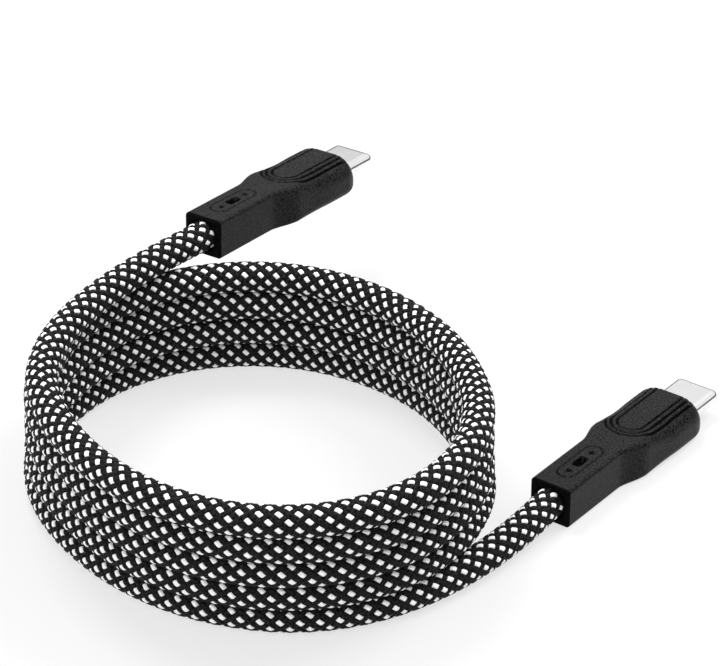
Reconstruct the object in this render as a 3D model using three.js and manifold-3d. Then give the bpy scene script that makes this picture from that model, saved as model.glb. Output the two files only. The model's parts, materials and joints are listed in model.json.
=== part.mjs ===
// A magnetic self-coiling charging cable: one braided cord with a USB-C plug at each end,
// stored as a stack of round turns. Millimetres, +Z up.
// Frame: +Y is the way plug B points, z = 0 is the surface that the cable lies on, and the
// origin is under the centre of the box around the two plugs.
import * as THREE from 'three';
import { mergeVertices } from 'three/addons/utils/BufferGeometryUtils.js';
import Module from 'manifold-3d';

const wasm = await Module();
wasm.setup();

// ---------------------------------------------------------------- driving dimensions
const CORD_D = 5.15;            // braided cord, and the distance between stacked turns
const GAP = 0.3;                // air left between pieces that meet face to face
const COIL_GAP = 0.8;           // more at the coil, whose end faces are a little askew
const TUBE_R = CORD_D / 2 - 0.1;

// Where the three groups stand. A plug's place is the middle of its rear face.
const COIL_CENTRE = [-3.68, -45.95];
const PLUG_B = { place: [39.07, -26.05, 3.5], yaw: 0, pitch: 0, roll: 0 };
const PLUG_A = { place: [-38.18, -18.15, 23.15], yaw: 1.5, pitch: -3.7, roll: -1.7 };

// The coil. Its angle runs counter-clockwise seen from above, from 0 where the top turn starts.
const COIL_ZERO = 217;          // direction of coil angle 0, degrees from +X
const TURN_LEVELS = 4;          // full turns below the top turn
const LOW_RADIUS = 37.3;        // mean radius of the lowest turn, and of the top one
const TOP_RADIUS = 38.0;
const WAIST = -1.23;            // how the radius changes half way up
const OVAL_COS_LOW = -1.87;     // oval shape, lowest and top turn
const OVAL_COS_TOP = -3.62;
const OVAL_SIN = -2.37;
const EGG = 0.49;
const LEAN = 3.2;               // the stack leans by this from bottom to top
const LEAN_BULGE = 3.0;
const LEAN_ANGLE = -53;
const RAMP_START = 130;         // each turn climbs down by one cord between these angles
const RAMP_END = 250;
const TAIL_CLEARANCE = 14;      // the coil's underside stays up this much longer, over tail B
const TOP_START = 17;           // coil angle where tail A joins the top turn
const LOW_END = 84;             // coil angle where tail B leaves the lowest turn

// The tails' curves: how far their handles reach from the plug and from the coil, and how far
// the cord drops towards the surface behind the plug.
const TAIL_A = { plugPull: 8, coilPull: 26.5, drop: 0 };
const TAIL_B = { plugPull: 7.1, coilPull: 28.4, drop: 0.9 };
const TAIL_STEPS = 20;
const TAIL_SIDES = 10;

// Plug, in its own frame: x across, y from the rear face to the tip, z up from its mid-plane.
const BODY_H = 7.0;
const BODY_L = 37.3;
const REAR_W = 7.5;
const NECK_W = 10.8;
const FRONT_W = 11.9;
const NECK = [14.5, 21];        // the sides flare between these
const REAR_EDGE = 0.75;         // rounding of the long edges behind the neck
const FRONT_SHOULDER = [3.75, 3.5];  // how far the top's rounding reaches across and down in front
const FRONT_UNDER = 1.6;        // rounding of the lower edges in front
const SHELL_W = 8.34;
const SHELL_H = 2.56;
const SHELL_WALL = 0.2;
const SHELL_Y = [31.3, 44.2];
const CORE_DROP = 0.3;          // the shell and all behind it sit this far below the mid-plane
const PAD_CENTRE_Y = 23.8;
const PAD_GROOVES = [[2.45, 3.0], [3.45, 2.75], [4.35, 2.4]];  // half-width, floor height
const PAD_GROOVE_W = 0.34;
const MARK_Y = 8.6;
const CONTACTS = 12;
const CONTACT_PITCH = 0.5;
const COMB_Z = 0.54;            // mid-height of a contact row
const WIRE_R = 0.35;
const WIRE_SIDES = 8;
const WIRE_STEPS = 8;
const WIRES = [
  ['ground', 0x1c1c1e, -0.62, -0.62],
  ['data', 0xd9d9d4, -0.62, 0.62],
  ['power', 0xb3261e, 0.62, 0.62],
  ['sense', 0x2e6bb0, 0.62, -0.62],
];

// ---------------------------------------------------------------- materials
function material(color, roughness, metalness = 0) {
  return new THREE.MeshStandardMaterial({ color, roughness, metalness });
}
const MOULDED_BLACK = material(0x2a2a2b, 0.6);
const INNER_WHITE = material(0xd8d8d2, 0.5);
const STEEL = material(0xd0d0d2, 0.25, 1);
const LCP_BLACK = material(0x141414, 0.5);
const GOLD = material(0xd4af55, 0.3, 1);
const BOARD_GREEN = material(0x1f5a35, 0.5);
const BRAID = material(0x2b2b2d, 0.9);
const JACKET = material(0x202022, 0.7);

// ---------------------------------------------------------------- small helpers
const rad = THREE.MathUtils.degToRad;
const mix = THREE.MathUtils.lerp;

function smooth(value, low, high) {
  return THREE.MathUtils.smoothstep(value, low, high);
}

function closed(geometry) {
  const bare = geometry.index ? geometry.toNonIndexed() : geometry.clone();
  bare.deleteAttribute('normal');
  bare.deleteAttribute('uv');
  return mergeVertices(bare, 1e-5);
}

function solid(geometry) {
  const merged = closed(geometry);
  return new wasm.Manifold(new wasm.Mesh({
    numProp: 3,
    vertProperties: new Float32Array(merged.attributes.position.array),
    triVerts: new Uint32Array(merged.index.array),
  }));
}

function geometryOf(manifold) {
  const mesh = manifold.getMesh();
  const geometry = new THREE.BufferGeometry();
  geometry.setAttribute('position', new THREE.BufferAttribute(mesh.vertProperties, 3));
  geometry.setIndex(new THREE.BufferAttribute(mesh.triVerts, 1));
  geometry.computeVertexNormals();
  return geometry;
}

function piece(group, name, geometry, look) {
  const mesh = new THREE.Mesh(geometry, look);
  mesh.name = name;
  group.add(mesh);
  return mesh;
}

// A rounded rectangle, centred, as a shape.
function roundRect(width, height, radius, arcPoints = 5) {
  const shape = new THREE.Shape();
  for (let corner = 0; corner < 4; corner += 1) {
    const sideX = corner === 0 || corner === 3 ? 1 : -1;
    const sideY = corner < 2 ? 1 : -1;
    for (let j = 0; j < arcPoints; j += 1) {
      const angle = rad(90 * (corner + j / (arcPoints - 1)));
      const x = sideX * (width / 2 - radius) + radius * Math.cos(angle);
      const y = sideY * (height / 2 - radius) + radius * Math.sin(angle);
      if (corner + j === 0) {
        shape.moveTo(x, y);
      } else {
        shape.lineTo(x, y);
      }
    }
  }
  return shape;
}

// A regular polygon that stands for a round section.
function roundSection(radius, sides) {
  const shape = new THREE.Shape();
  for (let k = 0; k < sides; k += 1) {
    const angle = 2 * Math.PI * (k + 0.5) / sides;
    shape[k === 0 ? 'moveTo' : 'lineTo'](radius * Math.cos(angle), radius * Math.sin(angle));
  }
  return shape;
}

// A shape drawn in x and z, drawn out along y.
function barAlongY(shape, y0, y1) {
  const bar = new THREE.ExtrudeGeometry(shape, { depth: y1 - y0, bevelEnabled: false });
  bar.rotateX(-Math.PI / 2);
  bar.translate(0, y0, 0);
  return bar;
}

// A shape drawn in x and y, drawn out upwards.
function plateUp(shape, z0, z1) {
  const plate = new THREE.ExtrudeGeometry(shape, { depth: z1 - z0, bevelEnabled: false });
  plate.translate(0, 0, z0);
  return plate;
}

function tube(path, radius, sides, steps) {
  const section = roundSection(radius, sides);
  return new THREE.ExtrudeGeometry(section, { steps, extrudePath: path, bevelEnabled: false });
}

function box(x0, x1, y0, y1, z0, z1) {
  const cube = new THREE.BoxGeometry(x1 - x0, y1 - y0, z1 - z0);
  cube.translate((x0 + x1) / 2, (y0 + y1) / 2, (z0 + z1) / 2);
  return cube;
}

function obround(width, height) {
  return roundRect(width, height, height / 2 - 0.001, 9);
}

// ---------------------------------------------------------------- overmould
const ARC = 6;                  // points on each corner of a cross-section

function halfWidth(y) {
  const neck = mix(REAR_W, NECK_W, smooth(y, NECK[0], NECK[1])) / 2;
  const flared = neck + (FRONT_W - NECK_W) / 2 * smooth(y, NECK[1] - 2, 31);
  const nose = Math.max(0, (y - 34.2) / (BODY_L - 34.2));
  return flared - 1.55 * (1 - Math.sqrt(1 - nose * nose));
}

// Level as far as a crisp edge near the front, then a steep slope.
function topHeight(y) {
  const past = y - 35.8;
  const rear = Math.max(0, 1 - y / 0.3);
  return BODY_H / 2 - 0.63 * (past + Math.hypot(past, 0.4)) - 0.25 * rear;
}

function bottomHeight(y) {
  const nose = Math.max(0, (y - 35.6) / (BODY_L - 35.6));
  const rear = Math.max(0, 1 - y / 0.3);
  return -BODY_H / 2 + 0.9 * (1 - Math.sqrt(1 - nose * nose)) + 0.25 * rear;
}

function sectionPoint(index, y) {
  const corner = Math.floor(index / ARC);
  const angle = rad(90 * (corner + (index % ARC) / (ARC - 1)));
  const rear = Math.max(0, 1 - y / 0.3);
  const width = halfWidth(y) - 0.25 * rear;
  const top = topHeight(y);
  const low = bottomHeight(y);
  const front = smooth(y, 16, 28);
  const across = mix(REAR_EDGE, FRONT_SHOULDER[0], front);
  const down = Math.min(mix(REAR_EDGE, FRONT_SHOULDER[1], front), 0.6 * (top - low));
  const under = mix(0.55, FRONT_UNDER, front);
  const sideX = corner === 0 || corner === 3 ? 1 : -1;
  if (corner < 2) {
    return [sideX * (width - across) + across * Math.cos(angle), top - down + down * Math.sin(angle)];
  }
  return [sideX * (width - under) + under * Math.cos(angle), low + under + under * Math.sin(angle)];
}

// The outer skin: a bar with a unit section is drawn out along its stations, and each of its
// corner points then moves to its own place on the moulded section there.
function overmouldSkin() {
  const stations = [0, 0.3, 7, 14.5, 16, 17.5, 19, 20.5, 22.5, 25, 28, 31, 34.2, 35, 35.6];
  for (let step = 1; step <= 6; step += 1) {
    stations.push(35.6 + (BODY_L - 35.6) * Math.sin(rad(15 * step)));
  }
  const count = ARC * 4;
  const last = stations.length - 1;
  const skin = new THREE.ExtrudeGeometry(roundSection(1, count), {
    depth: last,
    steps: last,
    bevelEnabled: false,
  });
  const position = skin.attributes.position;
  for (let i = 0; i < position.count; i += 1) {
    const turn = Math.atan2(position.getY(i), position.getX(i)) / (2 * Math.PI);
    const index = (Math.round(turn * count - 0.5) + count) % count;
    const y = stations[Math.round(position.getZ(i))];
    const [x, z] = sectionPoint(index, y);
    position.setXYZ(i, x, y, z);
  }
  // Swapping y and z mirrors the bar, so its faces are turned back to point outwards.
  const array = position.array;
  for (let t = 0; t < array.length; t += 9) {
    for (let axis = 0; axis < 3; axis += 1) {
      const keep = array[t + 3 + axis];
      array[t + 3 + axis] = array[t + 6 + axis];
      array[t + 6 + axis] = keep;
    }
  }
  return skin;
}

// A tongue outline, open to the front, with a round rear end.
function tongue(halfW) {
  const shape = new THREE.Shape();
  shape.moveTo(halfW, BODY_L + 2);
  shape.lineTo(halfW, PAD_CENTRE_Y);
  for (let j = 1; j <= 12; j += 1) {
    const angle = rad(-15 * j);
    shape.lineTo(halfW * Math.cos(angle), PAD_CENTRE_Y + halfW * Math.sin(angle));
  }
  shape.lineTo(-halfW, BODY_L + 2);
  return shape;
}

function stadium(length, width) {
  const shape = new THREE.Shape();
  const straight = (length - width) / 2;
  for (let end = 0; end < 2; end += 1) {
    for (let j = 0; j <= 8; j += 1) {
      const angle = rad(180 * end + 22.5 * j);
      const y = MARK_Y + (end === 0 ? straight : -straight) + width / 2 * Math.sin(angle);
      shape[end + j === 0 ? 'moveTo' : 'lineTo'](width / 2 * Math.cos(angle), y);
    }
  }
  return shape;
}

function overmould() {
  let body = solid(overmouldSkin());
  for (const [halfW, floor] of PAD_GROOVES) {
    const outer = solid(plateUp(tongue(halfW + PAD_GROOVE_W / 2), floor, 5));
    const inner = solid(plateUp(tongue(halfW - PAD_GROOVE_W / 2), floor - 1, 6));
    body = body.subtract(outer.subtract(inner));
  }
  const top = BODY_H / 2;
  const ring = solid(plateUp(stadium(11, 3.6), top - 0.22, 5))
    .subtract(solid(plateUp(stadium(10.4, 3.0), top - 1, 6)));
  body = body.subtract(ring);
  const slot = plateUp(roundRect(1.6, 3.3, 0.5), top - 0.7, 5);
  slot.translate(0, MARK_Y, 0);
  body = body.subtract(solid(slot));
  for (const side of [-1, 1]) {
    const dimple = new THREE.CylinderGeometry(0.5, 0.5, 2, 12);
    dimple.rotateX(Math.PI / 2);
    dimple.translate(0, MARK_Y + side * 3.4, top + 1 - 0.3);
    body = body.subtract(solid(dimple));
  }
  const bore = new THREE.CylinderGeometry(2.3, 2.3, 12, 20);
  bore.translate(0, 5, 0);
  body = body.subtract(solid(bore));
  const hollow = solid(barAlongY(roundRect(5.9, 5.6, 0.5), 9.5, 22))
    .add(solid(barAlongY(roundRect(8.4, 5.2, 0.5), 21, 31.5)))
    .add(solid(barAlongY(obround(SHELL_W + 0.3, SHELL_H + 0.3), 30, 40)));
  return body.subtract(hollow.translate([0, 0, -CORE_DROP]));
}

// ---------------------------------------------------------------- inside the overmould
function innerMould() {
  const outside = solid(barAlongY(roundRect(5.5, 5.2, 0.4), 9.8, 22))
    .add(solid(barAlongY(roundRect(8.1, 4.9, 0.4), 21.4, 31.2)));
  return outside.subtract(solid(barAlongY(roundRect(4.6, 3.7, 0.3), 9, 23)))
    .subtract(solid(barAlongY(roundRect(7.4, 4.0, 0.3), 21.8, 32)));
}

function rearShield() {
  return solid(barAlongY(roundRect(7.2, 3.8, 0.3), 22.2, 31))
    .subtract(solid(barAlongY(roundRect(6.8, 3.4, 0.2), 21, 32)));
}

function plugShell() {
  const inside = obround(SHELL_W - 2 * SHELL_WALL, SHELL_H - 2 * SHELL_WALL);
  return solid(barAlongY(obround(SHELL_W, SHELL_H), SHELL_Y[0], SHELL_Y[1]))
    .subtract(solid(barAlongY(inside, SHELL_Y[0] - 1, SHELL_Y[1] + 1)));
}

function contactHousing() {
  let body = solid(barAlongY(obround(7.6, 1.96), 31.6, 43.5))
    .subtract(solid(barAlongY(roundRect(6.9, 1.3, 0.1), 31, 45)));
  for (const side of [-1, 1]) {
    const low = side > 0 ? 0.84 : -2;
    body = body.subtract(solid(box(-2.6, 2.6, 38.4, 41.6, low, low + 1.16)));
  }
  return body;
}

// Twelve contact blades that leave the rear bar side by side.
function contactComb(side) {
  const half = 0.06;
  const z = side * COMB_Z;
  let comb = solid(box(-2.95, 2.95, 30.3, 31.0, z - half, z + half));
  for (let i = 0; i < CONTACTS; i += 1) {
    const x = (i - (CONTACTS - 1) / 2) * CONTACT_PITCH;
    comb = comb.add(solid(box(x - 0.125, x + 0.125, 28.6, 42.8, z - half, z + half)));
  }
  return comb;
}

// The latch plate: a web between the contact rows and an arm with a hook on each side.
function latchPlate() {
  let plate = solid(box(-3.3, 3.3, 32, 35.5, -0.1, 0.1));
  for (const side of [-1, 1]) {
    const inner = side * 3.05;
    const outer = side * 3.35;
    plate = plate.add(solid(box(Math.min(inner, outer), Math.max(inner, outer), 32, 42.4, -0.3, 0.3)));
    const hook = side * 2.93;
    plate = plate.add(solid(box(Math.min(hook, outer), Math.max(hook, outer), 41.6, 42.4, -0.3, 0.3)));
  }
  return plate;
}

// A thin ground spring with two fingers cut free on three sides.
function groundSpring(side) {
  const z = side * 0.94;
  let plate = solid(box(-2.4, 2.4, 38.6, 41.4, z - 0.04, z + 0.04));
  for (const x of [-1.2, 1.2]) {
    for (const cut of [-0.75, 0.75]) {
      plate = plate.subtract(solid(box(x + cut - 0.1, x + cut + 0.1, 39.2, 42, z - 1, z + 1)));
    }
  }
  return plate;
}

function wire(entryX, entryZ, index) {
  const landX = (index - 1.5) * 1.25;
  const path = new THREE.CubicBezierCurve3(
    new THREE.Vector3(entryX, 9.3, entryZ),
    new THREE.Vector3(entryX, 14, entryZ),
    new THREE.Vector3(landX, 18, 0.85),
    new THREE.Vector3(landX, 24, 0.85),
  );
  return tube(path, WIRE_R, WIRE_SIDES, WIRE_STEPS);
}

function buildPlug(letter, { place, yaw, pitch, roll }) {
  const plug = new THREE.Group();
  plug.position.set(...place);
  plug.rotation.set(rad(pitch), rad(roll), rad(yaw), 'ZXY');

  piece(plug, `overmould_${letter}`, geometryOf(overmould()), MOULDED_BLACK);
  const core = new THREE.Group();
  core.position.z = -CORE_DROP;
  plug.add(core);
  piece(core, `inner_mould_${letter}`, geometryOf(innerMould()), INNER_WHITE);
  piece(core, `plug_shell_${letter}`, geometryOf(plugShell()), STEEL);
  piece(core, `rear_shield_${letter}`, geometryOf(rearShield()), STEEL);
  piece(core, `contact_housing_${letter}`, geometryOf(contactHousing()), LCP_BLACK);
  piece(core, `contacts_upper_${letter}`, geometryOf(contactComb(1)), GOLD);
  piece(core, `contacts_lower_${letter}`, geometryOf(contactComb(-1)), GOLD);
  piece(core, `latch_plate_${letter}`, geometryOf(latchPlate()), STEEL);
  piece(core, `ground_spring_upper_${letter}`, geometryOf(groundSpring(1)), STEEL);
  piece(core, `ground_spring_lower_${letter}`, geometryOf(groundSpring(-1)), STEEL);
  piece(core, `paddle_card_${letter}`, box(-3.2, 3.2, 22.5, 30, -0.4, 0.4), BOARD_GREEN);
  piece(core, `marker_chip_${letter}`, box(-1, 1, 25, 27, 0.5, 1.1), LCP_BLACK);

  const ferrule = [[2.15, 4], [2.28, 4], [2.28, 8.5], [2.15, 8.5], [2.15, 4]];
  const profile = ferrule.map(([r, y]) => new THREE.Vector2(r, y));
  piece(plug, `crimp_ferrule_${letter}`, new THREE.LatheGeometry(profile, 20), STEEL);
  const jacket = new THREE.CylinderGeometry(2.05, 2.05, 9, 20);
  jacket.translate(0, 4.5, 0);
  piece(plug, `jacket_end_${letter}`, jacket, JACKET);

  WIRES.forEach(([name, color, x, z], index) => {
    const look = material(color, 0.5);
    piece(core, `wire_${name}_${letter}`, wire(x, z, index), look);
  });
  return plug;
}

// ---------------------------------------------------------------- the cord
// A point of the coil at an angle and a level: level 0 is the lowest turn, 1 the top one.
function coilPoint(angle, level) {
  const a = rad(angle);
  const oval = mix(OVAL_COS_LOW, OVAL_COS_TOP, level) * Math.cos(2 * a) + OVAL_SIN * Math.sin(2 * a);
  const bulge = level * (1 - level);
  const radius = mix(LOW_RADIUS, TOP_RADIUS, level) + WAIST * bulge + oval + EGG * Math.cos(3 * a);
  const lean = LEAN * level + LEAN_BULGE * bulge;
  const direction = rad(COIL_ZERO + angle);
  return new THREE.Vector3(
    COIL_CENTRE[0] + radius * Math.cos(direction) + lean * Math.cos(rad(LEAN_ANGLE)),
    COIL_CENTRE[1] + radius * Math.sin(direction) + lean * Math.sin(rad(LEAN_ANGLE)),
    CORD_D * (0.5 + TURN_LEVELS * level),
  );
}

// The cord's centre line in the coil, by the total angle wound from the top turn's start.
function windingPoint(angle) {
  const turn = Math.floor(angle / 360);
  const down = turn + smooth(angle - 360 * turn, RAMP_START, RAMP_END);
  return coilPoint(angle, 1 - down / TURN_LEVELS);
}

function windingDirection(angle) {
  return windingPoint(angle + 0.5).sub(windingPoint(angle - 0.5)).normalize();
}

// The closed outer form of all the turns: its section grows and shrinks round the coil, with
// a step where each tail ends against it.
function coilSolid() {
  const angles = [];
  for (let angle = 0; angle < 360; angle += 6) {
    angles.push(angle);
  }
  angles.push(TOP_START, TOP_START + 0.3, LOW_END, LOW_END + 0.3);
  angles.sort((p, q) => p - q);
  const uniqueAngles = angles.filter((angle, i) => i === 0 || angle - angles[i - 1] > 0.01);

  const rows = 6;
  const profile = [];
  for (let j = 0; j < rows; j += 1) {
    profile.push([1, j / (rows - 1)]);
  }
  for (let j = rows - 1; j >= 0; j -= 1) {
    profile.push([-1, j / (rows - 1)]);
  }
  profile.push([1, 0]);
  const points = profile.map(([side, height]) => new THREE.Vector2(10 + side, height));
  const ring = new THREE.LatheGeometry(points, uniqueAngles.length);
  const position = ring.attributes.position;
  for (let i = 0; i < position.count; i += 1) {
    const column = Math.floor(i / points.length) % uniqueAngles.length;
    const [side, height] = profile[i % points.length];
    const angle = uniqueAngles[column];
    const past = smooth(angle, RAMP_START, RAMP_END);
    const clear = smooth(angle, RAMP_START + TAIL_CLEARANCE, RAMP_END);
    const raised = angle > LOW_END + 0.1 ? 1 - clear : 0;
    const low = raised > 0 ? CORD_D * raised + GAP * Math.min(1, 4 * raised) : 0;
    const tall = angle > TOP_START + 0.1 ? 5 - past : 4;
    const high = CORD_D * tall - 0.2;
    const z = mix(low, high, height);
    const level = THREE.MathUtils.clamp((z / CORD_D - 0.5) / TURN_LEVELS, 0, 1);
    const centre = coilPoint(angle, level);
    const edge = height === 0 || height === 1 ? 0.55 : 1;
    const reach = side * edge * (CORD_D / 2);
    const direction = rad(COIL_ZERO + angle);
    position.setXYZ(
      i,
      centre.x + reach * Math.cos(direction),
      centre.y + reach * Math.sin(direction),
      z,
    );
  }
  return ring;
}

// From the plug's rear face to the coil, with a gap at both ends.
function tailCurve(plug, coilAngle, towardsCoil, { plugPull, coilPull, drop }) {
  const forward = new THREE.Vector3(0, 1, 0)
    .applyEuler(new THREE.Euler(rad(plug.pitch), rad(plug.roll), rad(plug.yaw), 'ZXY'));
  const start = new THREE.Vector3(...plug.place).addScaledVector(forward, -GAP);
  const along = windingDirection(coilAngle).multiplyScalar(towardsCoil);
  const end = windingPoint(coilAngle).addScaledVector(along, -COIL_GAP);
  return new THREE.CubicBezierCurve3(
    start,
    start.clone().addScaledVector(forward, -plugPull).add(new THREE.Vector3(0, 0, -drop)),
    end.clone().addScaledVector(along, -coilPull),
    end,
  );
}

// ---------------------------------------------------------------- the whole cable
const cable = new THREE.Group();
cable.add(buildPlug('a', PLUG_A));
cable.add(buildPlug('b', PLUG_B));
const tailA = tailCurve(PLUG_A, TOP_START, 1, TAIL_A);
const tailB = tailCurve(PLUG_B, 360 * TURN_LEVELS + LOW_END, -1, TAIL_B);
piece(cable, 'cord_tail_a', tube(tailA, TUBE_R, TAIL_SIDES, TAIL_STEPS), BRAID);
piece(cable, 'cord_coil', coilSolid(), BRAID);
piece(cable, 'cord_tail_b', tube(tailB, TUBE_R, TAIL_SIDES, TAIL_STEPS), BRAID);

export default cable;
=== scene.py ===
"""A magnetic self-coiling charging cable: one braided cord wound in a stack of turns, with a
moulded plug on each end.

Sizes are in millimetres in the part's frame (+Y is the way plug B points, +Z is up) and become
metres where a mesh, the cord or the camera is made. The lights are placed in metres.
"""

import json
import math

import bpy
import numpy as np
from mathutils import Matrix, Vector


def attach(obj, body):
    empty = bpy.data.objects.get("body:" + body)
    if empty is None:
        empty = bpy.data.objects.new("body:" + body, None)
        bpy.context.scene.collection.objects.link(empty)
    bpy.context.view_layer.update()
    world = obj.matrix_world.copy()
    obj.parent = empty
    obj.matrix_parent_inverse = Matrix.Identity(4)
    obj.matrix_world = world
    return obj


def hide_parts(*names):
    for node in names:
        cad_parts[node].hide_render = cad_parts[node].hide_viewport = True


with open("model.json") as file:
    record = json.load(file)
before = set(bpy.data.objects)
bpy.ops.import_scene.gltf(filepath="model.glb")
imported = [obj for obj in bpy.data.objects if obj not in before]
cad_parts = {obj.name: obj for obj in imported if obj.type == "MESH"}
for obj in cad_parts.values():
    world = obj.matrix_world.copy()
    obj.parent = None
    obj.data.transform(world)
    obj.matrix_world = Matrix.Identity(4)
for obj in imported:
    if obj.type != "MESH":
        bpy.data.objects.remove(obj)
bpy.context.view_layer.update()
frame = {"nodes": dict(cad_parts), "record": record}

MM = 0.001

# ---------------------------------------------------------------- the route, as in part.mjs
CORD_D = 5.15  # the cord, and the distance between stacked turns
GAP = 0.3  # from a plug's rear face to the start of its tail's curve
COIL_GAP = 0.8  # from the end of that curve to the coil
COIL_CENTRE = (-3.68, -45.95)
PLUG_B = {"place": (39.07, -26.05, 3.5), "yaw": 0, "pitch": 0, "roll": 0}
PLUG_A = {"place": (-38.18, -18.15, 23.15), "yaw": 1.5, "pitch": -3.7, "roll": -1.7}

COIL_ZERO = 217  # direction of coil angle 0, degrees from +X
TURN_LEVELS = 4  # full turns below the top turn
LOW_RADIUS, TOP_RADIUS = 37.3, 38.0
WAIST = -1.23
OVAL_COS_LOW, OVAL_COS_TOP, OVAL_SIN, EGG = -1.87, -3.62, -2.37, 0.49
LEAN, LEAN_BULGE, LEAN_ANGLE = 3.2, 3.0, -53
RAMP_START, RAMP_END = 130, 250
TOP_START, LOW_END = 17, 84
TAIL_A = {"plug_pull": 8, "coil_pull": 26.5, "drop": 0}
TAIL_B = {"plug_pull": 7.1, "coil_pull": 28.4, "drop": 0.9}
INSIDE_PLUG = 1.4  # how far the braid runs on into each plug

# ---------------------------------------------------------------- plug, in its own frame
BODY_H, BODY_L = 7.0, 37.3
REAR_W, NECK_W, FRONT_W = 7.5, 10.8, 11.9
NECK = (14.5, 21)
FLARE_END = 31  # the body is at its widest from here
REAR_EDGE, REAR_UNDER = 0.75, 0.55  # rounding of the long edges behind the neck
FRONT_SHOULDER, FRONT_UNDER = (3.75, 3.5), 1.6  # and in front of it
TO_FRONT = (16, 28)  # the rounding changes from one to the other between these
SHOULDER_SHARE = 0.6  # the most of the body's height that a shoulder takes
REAR_ROUNDING = 0.4  # of the edge round the rear face
REAR_HOLE_R = 2.8  # the hole that the cord comes out of
NOSE_SIDE_Y, NOSE_SIDE_INSET = 34.2, 1.55  # where the sides start to turn in, and how far they go
NOSE_TOP_Y, NOSE_TOP_EDGE = 35.8, 0.4  # where the top's front edge is, and how soft
NOSE_TOP_HALF_SLOPE = 0.63  # half the fall per millimetre past that edge
NOSE_LOW_Y, NOSE_LOW_RISE = 35.6, 0.9  # where the bottom starts to rise, and how far it goes
NOSE_ROWS_Y, NOSE_ROWS = 34.8, 30  # the mesh's rows get closer together from here to the front
SHELL_W, SHELL_H, SHELL_WALL = 8.34, 2.56, 0.2
SHELL_Y = (31.3, 44.2)
CORE_DROP = 0.3  # the shell sits this far below the body's mid-plane
SHELL_TURN = ((0, 0.9), (0, 0.7), (0.03, 0.4), (0.1, 0.2))  # inset, and distance from the open end
RIM_INSET = 0.15
PAD_CENTRE_Y = 23.8
PAD_GROOVES = (2.45, 3.45, 4.35)
PAD_GROOVE_W = 0.55
PAD_GROOVE_DEPTH = 0.4
PAD_DEEPER, PAD_DEEPER_Y = 1.6, (32, 35)  # the grooves deepen by this factor between these
WALL = 0.12  # across the steep wall of a recess or dimple
MARK_Y = 8.6  # middle of the groove, recess and dimples behind the pad
RING_R, RING_STRAIGHT, RING_GROOVE_W, RING_GROOVE_DEPTH = 1.65, 3.7, 0.38, 0.25
RECESS_HALF, RECESS_CORNER, RECESS_DEPTH = (0.35, 1.05), 0.5, 1.1
DIMPLE_FROM_MARK, DIMPLE_R, DIMPLE_DEPTH = 3.3, 0.55, 0.4
PAINTED_SHADE_DEPTH = 0.12  # whatever is sunk deeper than this gets the darker copy of the plastic, painted shade in the grooves, recess and dimples


# ---------------------------------------------------------------- small helpers
def mix(low, high, share):
    return low + (high - low) * share


def smooth(value, low, high):
    share = np.clip((value - low) / (high - low), 0, 1)
    return share * share * (3 - 2 * share)


def unit(vector):
    return vector / np.linalg.norm(vector)


def grid_faces(rows, columns, wrap):
    """Quads between the points of a grid. With wrap, the last column joins the first."""
    row = np.arange(rows - 1)[:, None] * columns
    column = np.arange(columns if wrap else columns - 1)[None, :]
    near, far = row + column, row + (column + 1) % columns
    return np.stack([near, far, far + columns, near + columns], -1).reshape(-1, 4)


def mesh_piece(name, points, faces, material, uv=None):
    """A smooth mesh object. Points are in millimetres; uv has one pair for each point."""
    mesh = bpy.data.meshes.new(name)
    mesh.from_pydata((points * MM).tolist(), [], faces)
    mesh.shade_smooth()
    if uv is not None:
        corners = np.empty(len(mesh.loops), int)
        mesh.loops.foreach_get("vertex_index", corners)
        mesh.uv_layers.new(name="yarn").data.foreach_set("uv", uv[corners].ravel())
    mesh.materials.append(material)
    piece = bpy.data.objects.new(name, mesh)
    bpy.context.scene.collection.objects.link(piece)
    return piece


# ---------------------------------------------------------------- camera
def make_camera():
    data = bpy.data.cameras.new("camera")
    data.sensor_fit = "HORIZONTAL"
    data.sensor_width = 36
    data.lens = 173.9
    data.clip_start, data.clip_end = 0.01, 20
    camera = bpy.data.objects.new("camera", data)
    camera.location = Vector((294.92, -415.73, 306.68)) * MM
    target = Vector((-20.99, 3.49, 0)) * MM
    camera.rotation_euler = (target - camera.location).to_track_quat("-Z", "Y").to_euler()
    bpy.context.scene.collection.objects.link(camera)
    bpy.context.scene.camera = camera


make_camera()


# ---------------------------------------------------------------- the cord's route
def coil_point(angle, level):
    """A point of the coil: level 0 is the lowest turn and 1 the top one."""
    a, direction = np.radians(angle), np.radians(COIL_ZERO + angle)
    lean_way = math.radians(LEAN_ANGLE)
    oval = mix(OVAL_COS_LOW, OVAL_COS_TOP, level) * np.cos(2 * a) + OVAL_SIN * np.sin(2 * a)
    bulge = level * (1 - level)
    radius = mix(LOW_RADIUS, TOP_RADIUS, level) + WAIST * bulge + oval + EGG * np.cos(3 * a)
    lean = LEAN * level + LEAN_BULGE * bulge
    x = COIL_CENTRE[0] + radius * np.cos(direction) + lean * math.cos(lean_way)
    y = COIL_CENTRE[1] + radius * np.sin(direction) + lean * math.sin(lean_way)
    return np.stack([x, y, CORD_D * (0.5 + TURN_LEVELS * level)], -1)


def winding_point(angle):
    """The coil's centre line, by the total angle wound from the top turn's start."""
    angle = np.asarray(angle, float)
    turn = np.floor(angle / 360)
    down = turn + smooth(angle - 360 * turn, RAMP_START, RAMP_END)
    return coil_point(angle, 1 - down / TURN_LEVELS)


def turned(plug):
    """The rotation from the plug's own axes to the frame's."""
    yaw, pitch, roll = (math.radians(plug[k]) for k in ("yaw", "pitch", "roll"))
    rotation = Matrix.Rotation(yaw, 3, "Z") @ Matrix.Rotation(pitch, 3, "X")
    return np.array(rotation @ Matrix.Rotation(roll, 3, "Y"))


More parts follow.
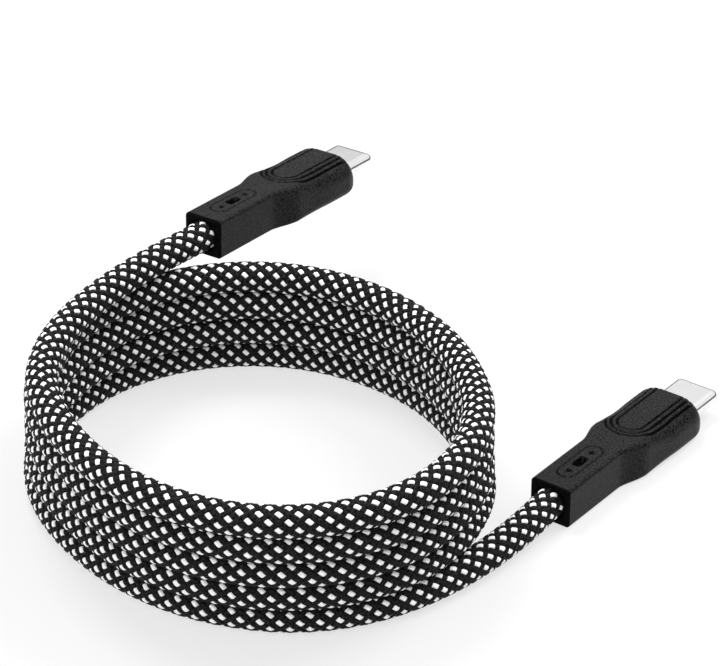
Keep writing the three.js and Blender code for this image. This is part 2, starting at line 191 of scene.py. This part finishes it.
def tail_points(plug, coil_angle, towards_coil, pulls):
    """From inside the plug to just before the coil, on one smooth curve."""
    place, forward = np.array(plug["place"]), turned(plug)[:, 1]
    start = place - GAP * forward
    along = towards_coil * unit(winding_point(coil_angle + 0.5) - winding_point(coil_angle - 0.5))
    end = winding_point(coil_angle) - COIL_GAP * along
    first = start - pulls["plug_pull"] * forward - np.array([0, 0, pulls["drop"]])
    second = end - pulls["coil_pull"] * along
    t = np.linspace(0, 1, 160)[:, None]
    near_start = (1 - t) ** 3 * start + 3 * (1 - t) ** 2 * t * first
    curve = near_start + 3 * (1 - t) * t * t * second + t**3 * end
    return np.vstack([place + INSIDE_PLUG * forward, curve])


def centre_line():
    last = 360 * TURN_LEVELS + LOW_END
    tail_a = tail_points(PLUG_A, TOP_START, 1, TAIL_A)
    tail_b = tail_points(PLUG_B, last, -1, TAIL_B)
    return np.vstack([tail_a, winding_point(np.arange(TOP_START, last + 0.1, 0.5)), tail_b[::-1]])


class Route:
    """The cord's centre line with two crosswise directions that don't twist along it."""

    def __init__(self, line, step):
        along = np.concatenate([[0], np.cumsum(np.linalg.norm(np.diff(line, axis=0), axis=1))])
        self.length = along[-1]
        self.at = np.linspace(0, self.length, round(self.length / step) + 1)
        self.points = np.stack([np.interp(self.at, along, line[:, k]) for k in range(3)], -1)
        tangents = np.gradient(self.points, axis=0)
        tangents /= np.linalg.norm(tangents, axis=1)[:, None]
        self.side = np.empty_like(tangents)
        side = unit(np.cross([0, 0, 1], tangents[0]))
        for k, tangent in enumerate(tangents):
            side = unit(side - tangent * (side @ tangent))
            self.side[k] = side
        self.up = np.cross(tangents, self.side)

    def around(self, at, angle, radius):
        """Points at a distance along the cord, an angle round it and a radius."""
        def read(table):
            return np.stack([np.interp(at, self.at, table[:, k]) for k in range(3)], -1)

        across, up = np.cos(angle)[..., None], np.sin(angle)[..., None]
        outward = across * read(self.side) + up * read(self.up)
        return read(self.points) + radius[..., None] * outward


# ---------------------------------------------------------------- materials
def material_of(name, **sockets):
    material = bpy.data.materials.new(name)
    material.use_nodes = True
    shader = material.node_tree.nodes["Principled BSDF"]
    for socket, value in sockets.items():
        shader.inputs[socket.replace("_", " ")].default_value = value
    return material


def add_node(material, kind, inputs=None, **settings):
    """A node with its settings. Each input takes a value or another node's output."""
    tree = material.node_tree
    node = tree.nodes.new("ShaderNode" + kind)
    for key, value in settings.items():
        setattr(node, key, value)
    for key, value in (inputs or {}).items():
        if isinstance(value, bpy.types.NodeSocket):
            tree.links.new(value, node.inputs[key])
        else:
            node.inputs[key].default_value = value
    return node


def drive(material, socket, output):
    shader = material.node_tree.nodes["Principled BSDF"]
    material.node_tree.links.new(output, shader.inputs[socket])


def noise(material, coordinates, scale, detail=2.0, stretch=(1, 1, 1)):
    """Cloudy noise. The scale is in features per metre, or per millimetre of yarn."""
    mapping = add_node(material, "Mapping", {"Vector": coordinates, "Scale": stretch})
    inputs = {"Vector": mapping.outputs[0], "Scale": scale, "Detail": detail}
    return add_node(material, "TexNoise", inputs).outputs[0]


def shade(material, factor, *stops):
    """A colour ramp: each stop is a place and a grey level or a colour."""
    ramp = add_node(material, "ValToRGB", {"Fac": factor})
    elements = ramp.color_ramp.elements
    while len(elements) < len(stops):
        elements.new(0.5)
    for element, (place, colour) in zip(elements, stops):
        element.position = place
        element.color = (colour,) * 3 + (1,) if isinstance(colour, float) else (*colour, 1)
    return ramp.outputs[0]


def relief(material, height, distance, strength=1.0, under=None):
    inputs = {"Height": height, "Distance": distance, "Strength": strength}
    if under is not None:
        inputs["Normal"] = under
    return add_node(material, "Bump", inputs).outputs[0]


def surface_place(material):
    return add_node(material, "TexCoord").outputs["Object"]


def yarn_material(name, dark, light, roughness, shine):
    """Filaments that run along the yarn, in a few plies."""
    material = material_of(name, Roughness=roughness, Specular_IOR_Level=shine)
    place = add_node(material, "UVMap", uv_map="yarn").outputs[0]
    filaments = noise(material, place, 1.0, 3.0, (6, 1.8, 1))
    plies = noise(material, place, 1.0, 1.0, (4.5, 0.5, 1))
    drive(material, "Base Color", shade(material, filaments, (0.38, dark), (0.62, light)))
    rough = relief(material, filaments, 0.00004, 0.7)
    drive(material, "Normal", relief(material, plies, 0.00006, 0.5, rough))
    return material


def moulded_material(name, dark, light, roughness, shine):
    """Satin plastic with the fine texture of an etched mould."""
    material = material_of(name, Specular_IOR_Level=shine)
    place = surface_place(material)
    grain = noise(material, place, 3300, 4.0)
    drive(material, "Base Color", shade(material, grain, (0.4, dark), (0.6, light)))
    rough = shade(material, grain, (0.3, roughness - 0.08), (0.7, roughness + 0.08))
    drive(material, "Roughness", rough)
    drive(material, "Normal", relief(material, grain, 0.00004, 0.7))
    return material


def steel_material(name, level, roughness):
    """Drawn stainless steel with faint lines along the plug."""
    material = material_of(name, Metallic=1.0)
    place = surface_place(material)
    lines = noise(material, place, 1.0, 3.0, (9000, 260, 9000))
    smears = noise(material, place, 300, 2.0)
    drive(material, "Base Color", shade(material, smears, (0.3, level - 0.03), (0.7, level + 0.02)))
    rough = shade(material, lines, (0.3, roughness - 0.04), (0.7, roughness + 0.06))
    drive(material, "Roughness", rough)
    drive(material, "Normal", relief(material, lines, 0.000004, 0.5))
    return material


def plain_material(name, dark, light, roughness, metallic=0.0):
    """A small inner part: a little colour variation and a slightly uneven surface."""
    material = material_of(name, Metallic=metallic)
    place = surface_place(material)
    clouds = noise(material, place, 900, 3.0)
    drive(material, "Base Color", shade(material, clouds, (0.3, dark), (0.7, light)))
    rough = shade(material, clouds, (0.3, roughness - 0.05), (0.7, roughness + 0.05))
    drive(material, "Roughness", rough)
    drive(material, "Normal", relief(material, clouds, 0.00002, 0.3))
    return material


WHITE_YARN = yarn_material("white_yarn", 0.74, 0.97, 0.8, 0.3)
BLACK_YARN = yarn_material("black_yarn", 0.0002, 0.02, 0.55, 0.06)
MOULDED = moulded_material("moulded_black", 0.001, 0.019, 0.34, 0.085)
# A darker, duller copy of the plastic that paints shade into the grooves, recess, dimples, rear
# face and cord hole.
MOULDED_PAINTED_SHADE = moulded_material("moulded_black_painted_shade", 0.001, 0.004, 0.7, 0.03)
STEEL = steel_material("steel", 0.89, 0.14)
CORD_JACKET = plain_material("cord_jacket", 0.006, 0.010, 0.7)
GOLD_DARK, GOLD_LIGHT = (0.80, 0.58, 0.24), (0.88, 0.66, 0.32)
CAD_LOOKS = {
    "inner_white": plain_material("inner_white", (0.72, 0.72, 0.68), (0.80, 0.80, 0.76), 0.5),
    "steel": STEEL,
    "housing_black": plain_material("housing_black", 0.010, 0.016, 0.45),
    "contact_gold": plain_material("contact_gold", GOLD_DARK, GOLD_LIGHT, 0.25, 1.0),
    "board_green": plain_material("board_green", (0.02, 0.13, 0.05), (0.03, 0.18, 0.08), 0.3),
    "jacket": CORD_JACKET,
    "wire_black": plain_material("wire_black", 0.012, 0.020, 0.4),
    "wire_white": plain_material("wire_white", 0.74, 0.82, 0.4),
    "wire_red": plain_material("wire_red", (0.44, 0.02, 0.015), (0.54, 0.04, 0.03), 0.4),
    "wire_blue": plain_material("wire_blue", (0.03, 0.12, 0.38), (0.05, 0.16, 0.46), 0.4),
}


# ---------------------------------------------------------------- the braided cord
CARRIERS = 12  # yarns that run each way round; every second one of the first set is white
CROSSING = 0.71  # distance along the cord from one crossing to the next
WHITE_HALF, BLACK_HALF = 0.4, 0.46  # half a yarn's width, in yarn spacings
YARN_T = 0.26  # yarn thickness
BRAID_R = 2.37  # radius of the middle of the braid
CORE_R = 2.2
STEPS = 3  # points from one crossing to the next
OVER_UNDER = np.array([1, 0.9, -0.9, -1, -0.9, 0.9])  # a yarn's height at the points of one period
YARN_ACROSS = np.array([-1, -0.76, 0, 0.76, 1])
YARN_CROWN = np.array([-0.7, 0.55, 1, 0.55, -0.7])


def yarn(route, way, carrier, half, steps):
    """One yarn as a strip with a rounded top. It passes over one yarn and under the next."""
    crossing = route.length * STEPS / steps
    t = np.arange(steps + 1)[:, None] / STEPS
    across = YARN_ACROSS[None, :] * half
    at = (t - way * across) * crossing
    angle = (2 * carrier + across + way * t) * math.pi / CARRIERS
    wave = OVER_UNDER[np.arange(steps + 1) % len(OVER_UNDER)][:, None]
    height = YARN_T / 2 * (way * wave + YARN_CROWN[None, :])
    points = route.around(at, angle, BRAID_R + height).reshape(-1, 3)
    spacing = math.hypot(crossing, CORD_D / 2 * math.pi / CARRIERS)
    uv = np.stack(np.broadcast_arrays(across * spacing, t * spacing), -1).reshape(-1, 2)
    return points, uv


def yarns(name, route, way, carriers, half, material):
    """One piece made of the yarns of some carriers, which all wind the same way."""
    steps = round(route.length / CROSSING * STEPS)
    columns = len(YARN_ACROSS)
    one = grid_faces(steps + 1, columns, False)
    made = [yarn(route, way, carrier, half, steps) for carrier in carriers]
    points = np.vstack([p for p, _ in made])
    uv = np.vstack([u for _, u in made])
    faces = np.vstack([one + k * (steps + 1) * columns for k in range(len(made))])
    # Neighbouring yarns start at different places along their filaments.
    uv[:, 1] += np.repeat(np.arange(len(made)) * 7.3, (steps + 1) * columns)
    return mesh_piece(name, points, faces.tolist(), material, uv)


def make_cord():
    route = Route(centre_line(), 0.25)
    rings = Route(centre_line(), 1.0)
    sides = 16
    at = np.repeat(rings.at[:, None], sides, 1)
    angle = np.broadcast_to(np.arange(sides) * 2 * math.pi / sides, at.shape)
    points = rings.around(at, angle, np.full(at.shape, CORE_R)).reshape(-1, 3)
    faces = grid_faces(len(rings.at), sides, True).tolist()
    faces.append(list(range(sides))[::-1])
    faces.append([len(points) - sides + k for k in range(sides)])
    core = mesh_piece("cord_jacket", points, faces, CORD_JACKET)

    even, odd = range(0, CARRIERS, 2), range(1, CARRIERS, 2)
    braid = [yarns("braid_white_yarns", route, 1, even, WHITE_HALF, WHITE_YARN)]
    for number, (way, carriers) in enumerate([(1, odd), (-1, even), (-1, odd)], 1):
        name = f"braid_black_yarns_{number}"
        braid.append(yarns(name, route, way, carriers, BLACK_HALF, BLACK_YARN))
    for piece in [core, *braid]:
        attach(piece, "root")
        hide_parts("cord_tail_a", "cord_coil", "cord_tail_b")


make_cord()


# ---------------------------------------------------------------- overmould
def half_width(y):
    neck = mix(REAR_W, NECK_W, smooth(y, *NECK)) / 2
    flared = neck + (FRONT_W - NECK_W) / 2 * smooth(y, NECK[1] - 2, FLARE_END)
    nose = max(0, (y - NOSE_SIDE_Y) / (BODY_L - NOSE_SIDE_Y))
    return flared - NOSE_SIDE_INSET * (1 - math.sqrt(1 - nose * nose))


def top_height(y):
    """Level as far as a crisp edge near the front, then a steep slope."""
    past = y - NOSE_TOP_Y
    return BODY_H / 2 - NOSE_TOP_HALF_SLOPE * (past + math.hypot(past, NOSE_TOP_EDGE))


def bottom_height(y):
    nose = max(0, (y - NOSE_LOW_Y) / (BODY_L - NOSE_LOW_Y))
    return -BODY_H / 2 + NOSE_LOW_RISE * (1 - math.sqrt(1 - nose * nose))


def straight(start, end, normal, count):
    t = np.arange(count)[:, None] / count
    return mix(np.array(start), np.array(end), t), np.repeat([normal], count, 0)


def rounded(centre, across, down, first, count):
    """A quarter of an ellipse from an angle in degrees, counter-clockwise."""
    angle = np.radians(first + 90 * np.arange(count) / count)
    round_the_corner = np.stack([np.cos(angle), np.sin(angle)], -1)
    normals = round_the_corner / (across, down)
    normals /= np.linalg.norm(normals, axis=1)[:, None]
    return np.array(centre) + round_the_corner * (across, down), normals


def section(y):
    """The moulded section at y: its points, x and z, and their outward directions."""
    wide, top, low = half_width(y), top_height(y), bottom_height(y)
    front = smooth(y, *TO_FRONT)
    across = mix(REAR_EDGE, FRONT_SHOULDER[0], front)
    down = min(mix(REAR_EDGE, FRONT_SHOULDER[1], front), SHOULDER_SHARE * (top - low))
    under = mix(REAR_UNDER, FRONT_UNDER, front)
    runs = [
        straight((wide, low + under), (wide, top - down), (1, 0), 16),
        rounded((wide - across, top - down), across, down, 0, 80),
        straight((wide - across, top), (across - wide, top), (0, 1), 80),
        rounded((across - wide, top - down), across, down, 90, 80),
        straight((-wide, top - down), (-wide, low + under), (-1, 0), 16),
        rounded((under - wide, low + under), under, under, 180, 12),
        straight((under - wide, low), (wide - under, low), (0, -1), 16),
        rounded((wide - under, low + under), under, under, 270, 12),
    ]
    return np.vstack([p for p, _ in runs]), np.vstack([n for _, n in runs])


def channel(distance, width, depth):
    """The depth of a groove with steep walls, by the distance from its middle."""
    return depth * smooth(width / 2 - np.abs(distance), 0, width / 3)


def pocket(inside, wall, depth):
    """The depth of a recess with steep walls, by the distance inside its edge."""
    return depth * smooth(inside, 0, wall)


def top_depth(x, y):
    """How far the top is sunk: the pad's grooves, and the groove, recess and dimples behind it."""
    from_pad = np.abs(x) if y > PAD_CENTRE_Y else np.hypot(x, y - PAD_CENTRE_Y)
    deep = PAD_GROOVE_DEPTH * mix(1, PAD_DEEPER, smooth(y, *PAD_DEEPER_Y))
    sunk = sum(channel(from_pad - edge, PAD_GROOVE_W, deep) for edge in PAD_GROOVES)
    behind = abs(y - MARK_Y)
    from_ring = np.hypot(x, max(behind - RING_STRAIGHT, 0)) - RING_R
    sunk = sunk + channel(from_ring, RING_GROOVE_W, RING_GROOVE_DEPTH)
    past_side = np.maximum(np.abs(x) - RECESS_HALF[0], 0)
    corner = np.hypot(past_side, max(behind - RECESS_HALF[1], 0))
    sunk = sunk + pocket(RECESS_CORNER - corner, WALL, RECESS_DEPTH)
    from_dimple = np.hypot(x, behind - DIMPLE_FROM_MARK)
    return sunk + pocket(DIMPLE_R - from_dimple, WALL, DIMPLE_DEPTH)


def overmould(letter, plug):
    """The moulded body, from the hole in its rear face, round the rear edge and on to the nose."""
    rows = []
    outline, normals = section(0)
    hole = outline / np.linalg.norm(outline, axis=1)[:, None] * REAR_HOLE_R
    for y in (INSIDE_PLUG, 0.7, 0.0):
        rows.append(np.insert(hole, 1, y, axis=1))
    for step in range(5):
        around = math.radians(22.5 * step)
        inset = REAR_ROUNDING * (1 - math.sin(around))
        y = REAR_ROUNDING * (1 - math.cos(around))
        rows.append(np.insert(outline - inset * normals, 1, y, axis=1))
    # The hole and the rear face get painted shade: the darker copy of the plastic.
    shadowed = [np.ones(len(outline), bool)] * len(rows)
    stations = list(np.arange(0.5, NOSE_ROWS_Y, 0.125))
    for k in range(NOSE_ROWS + 1):
        share = math.sin(math.radians(90 * k / NOSE_ROWS))
        stations.append(NOSE_ROWS_Y + (BODY_L - NOSE_ROWS_Y) * share)
    for y in stations:
        outline, normals = section(y)
        facing_up = np.clip(normals[:, 1] / 0.3, 0, 1)
        sunk = top_depth(outline[:, 0], y) * facing_up
        rows.append(np.insert(outline - sunk[:, None] * normals, 1, y, axis=1))
        shadowed.append(sunk > PAINTED_SHADE_DEPTH)
    columns = len(outline)
    points = np.vstack(rows) @ turned(plug).T + np.array(plug["place"])
    quads = grid_faces(len(rows), columns, True)[:, ::-1]
    ends = [list(range(columns)), [len(points) - 1 - k for k in range(columns)]]
    piece = mesh_piece(f"plug_body_{letter}", points, quads.tolist() + ends, MOULDED)
    # Faces in the grooves, recess and dimples, and round the rear face and hole, take the darker
    # copy as painted shade.
    piece.data.materials.append(MOULDED_PAINTED_SHADE)
    painted_shade_faces = np.concatenate(shadowed)[quads].all(1).astype(int).tolist()
    piece.data.polygons.foreach_set("material_index", painted_shade_faces + [1, 0])
    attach(piece, "root")
    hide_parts(f"overmould_{letter}")


# ---------------------------------------------------------------- metal tip
def obround(inset, count=24):
    """The tip's outline in x and z, moved inwards by inset."""
    radius = SHELL_H / 2
    flat = SHELL_W / 2 - radius
    ends = []
    for way in (0, 180):
        angle = np.radians(way - 90 + 180 * np.arange(count + 1) / count)
        side = 1 if way == 0 else -1
        arc = (radius - inset) * np.stack([np.cos(angle), np.sin(angle)], -1)
        # A point on the flat beside each end of the arc keeps the flat's shading level.
        inward = np.array([[-0.15 * side, 0]])
        end = np.vstack([arc[:1] + inward, arc, arc[-1:] + inward])
        ends.append(end + np.array([side * flat, -CORE_DROP]))
    return np.vstack(ends)


def tip(letter, plug):
    """A drawn shell, open at the front, that turns in a little before its rounded rim."""
    rim, end = SHELL_WALL / 2, SHELL_Y[1]
    profile = [(0, SHELL_Y[0])]
    profile += [(inset, end - back) for inset, back in SHELL_TURN]
    for step in range(9):
        around = math.radians(22.5 * step)
        inset = RIM_INSET + rim * (1 - math.cos(around))
        profile.append((inset, end - rim + rim * math.sin(around)))
    profile += [(SHELL_WALL, end - 0.5), (SHELL_WALL, SHELL_Y[0]), (0, SHELL_Y[0])]
    rows = [np.insert(obround(inset), 1, y, axis=1) for inset, y in profile]
    points = np.vstack(rows) @ turned(plug).T + np.array(plug["place"])
    faces = grid_faces(len(rows), len(rows[0]), True)[:, ::-1].tolist()
    piece = mesh_piece(f"plug_tip_{letter}", points, faces, STEEL)
    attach(piece, "root")
    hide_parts(f"plug_shell_{letter}")


for letter, plug in (("a", PLUG_A), ("b", PLUG_B)):
    overmould(letter, plug)
    tip(letter, plug)


# ---------------------------------------------------------------- CAD nodes that stay
def dress_cad_nodes():
    for part in frame["record"]["subparts"]:
        look = CAD_LOOKS.get(part["material_slot"])
        if look is not None:
            data = frame["nodes"][part["node"]].data
            data.materials.clear()
            data.materials.append(look)


dress_cad_nodes()


# ---------------------------------------------------------------- floor and light
FLOOR_HALF, FLOOR_DROP = 3000.0, 0.04  # half the floor's width, and how far it lies below z = 0
LIT_POINT = (0, -0.04, 0)  # every light is aimed at this point


def make_floor():
    half = FLOOR_HALF
    corners = np.array([(-half, -half, 0), (half, -half, 0), (half, half, 0), (-half, half, 0)])
    material = material_of(
        "floor",
        Roughness=0.9,
        Specular_IOR_Level=0.0,
        Base_Color=(0.18, 0.18, 0.18, 1),
        Emission_Color=(1, 1, 1, 1),
        Emission_Strength=0.67,
    )
    floor = mesh_piece("floor", corners - np.array([0, 0, FLOOR_DROP]), [[0, 1, 2, 3]], material)


def area_light(name, place, size, power):
    data = bpy.data.lights.new(name, "AREA")
    data.shape = "RECTANGLE"
    data.size, data.size_y = size
    data.energy = power
    light = bpy.data.objects.new(name, data)
    light.location = place
    direction = Vector(LIT_POINT) - Vector(place)
    light.rotation_euler = direction.to_track_quat("-Z", "Y").to_euler()
    light.visible_glossy = False
    bpy.context.scene.collection.objects.link(light)


def make_light():
    """A room that is dim near the horizon and brightest overhead, and three white lights.

    The key is at the back right, the second high at the left, and the large fill in front.
    """
    world = bpy.data.worlds.new("studio")
    world.use_nodes = True
    direction = add_node(world, "TexCoord").outputs["Generated"]
    height = add_node(world, "SeparateXYZ", {"Vector": direction}).outputs["Z"]
    sky = shade(world, height, (0.2, 0.05), (0.37, 0.72), (0.55, 0.62), (0.95, 1.0))
    background = world.node_tree.nodes["Background"]
    world.node_tree.links.new(sky, background.inputs["Color"])
    background.inputs["Strength"].default_value = 1.4
    bpy.context.scene.world = world
    area_light("key", (0.2, 0.46, 0.6), (0.4, 0.4), 5)
    area_light("top", (-0.34, 0.1, 0.85), (0.3, 0.3), 5)
    area_light("fill", (0, -0.85, 0.45), (0.9, 0.9), 4)
    bpy.context.scene.view_settings.view_transform = "Standard"


make_floor()
make_light()
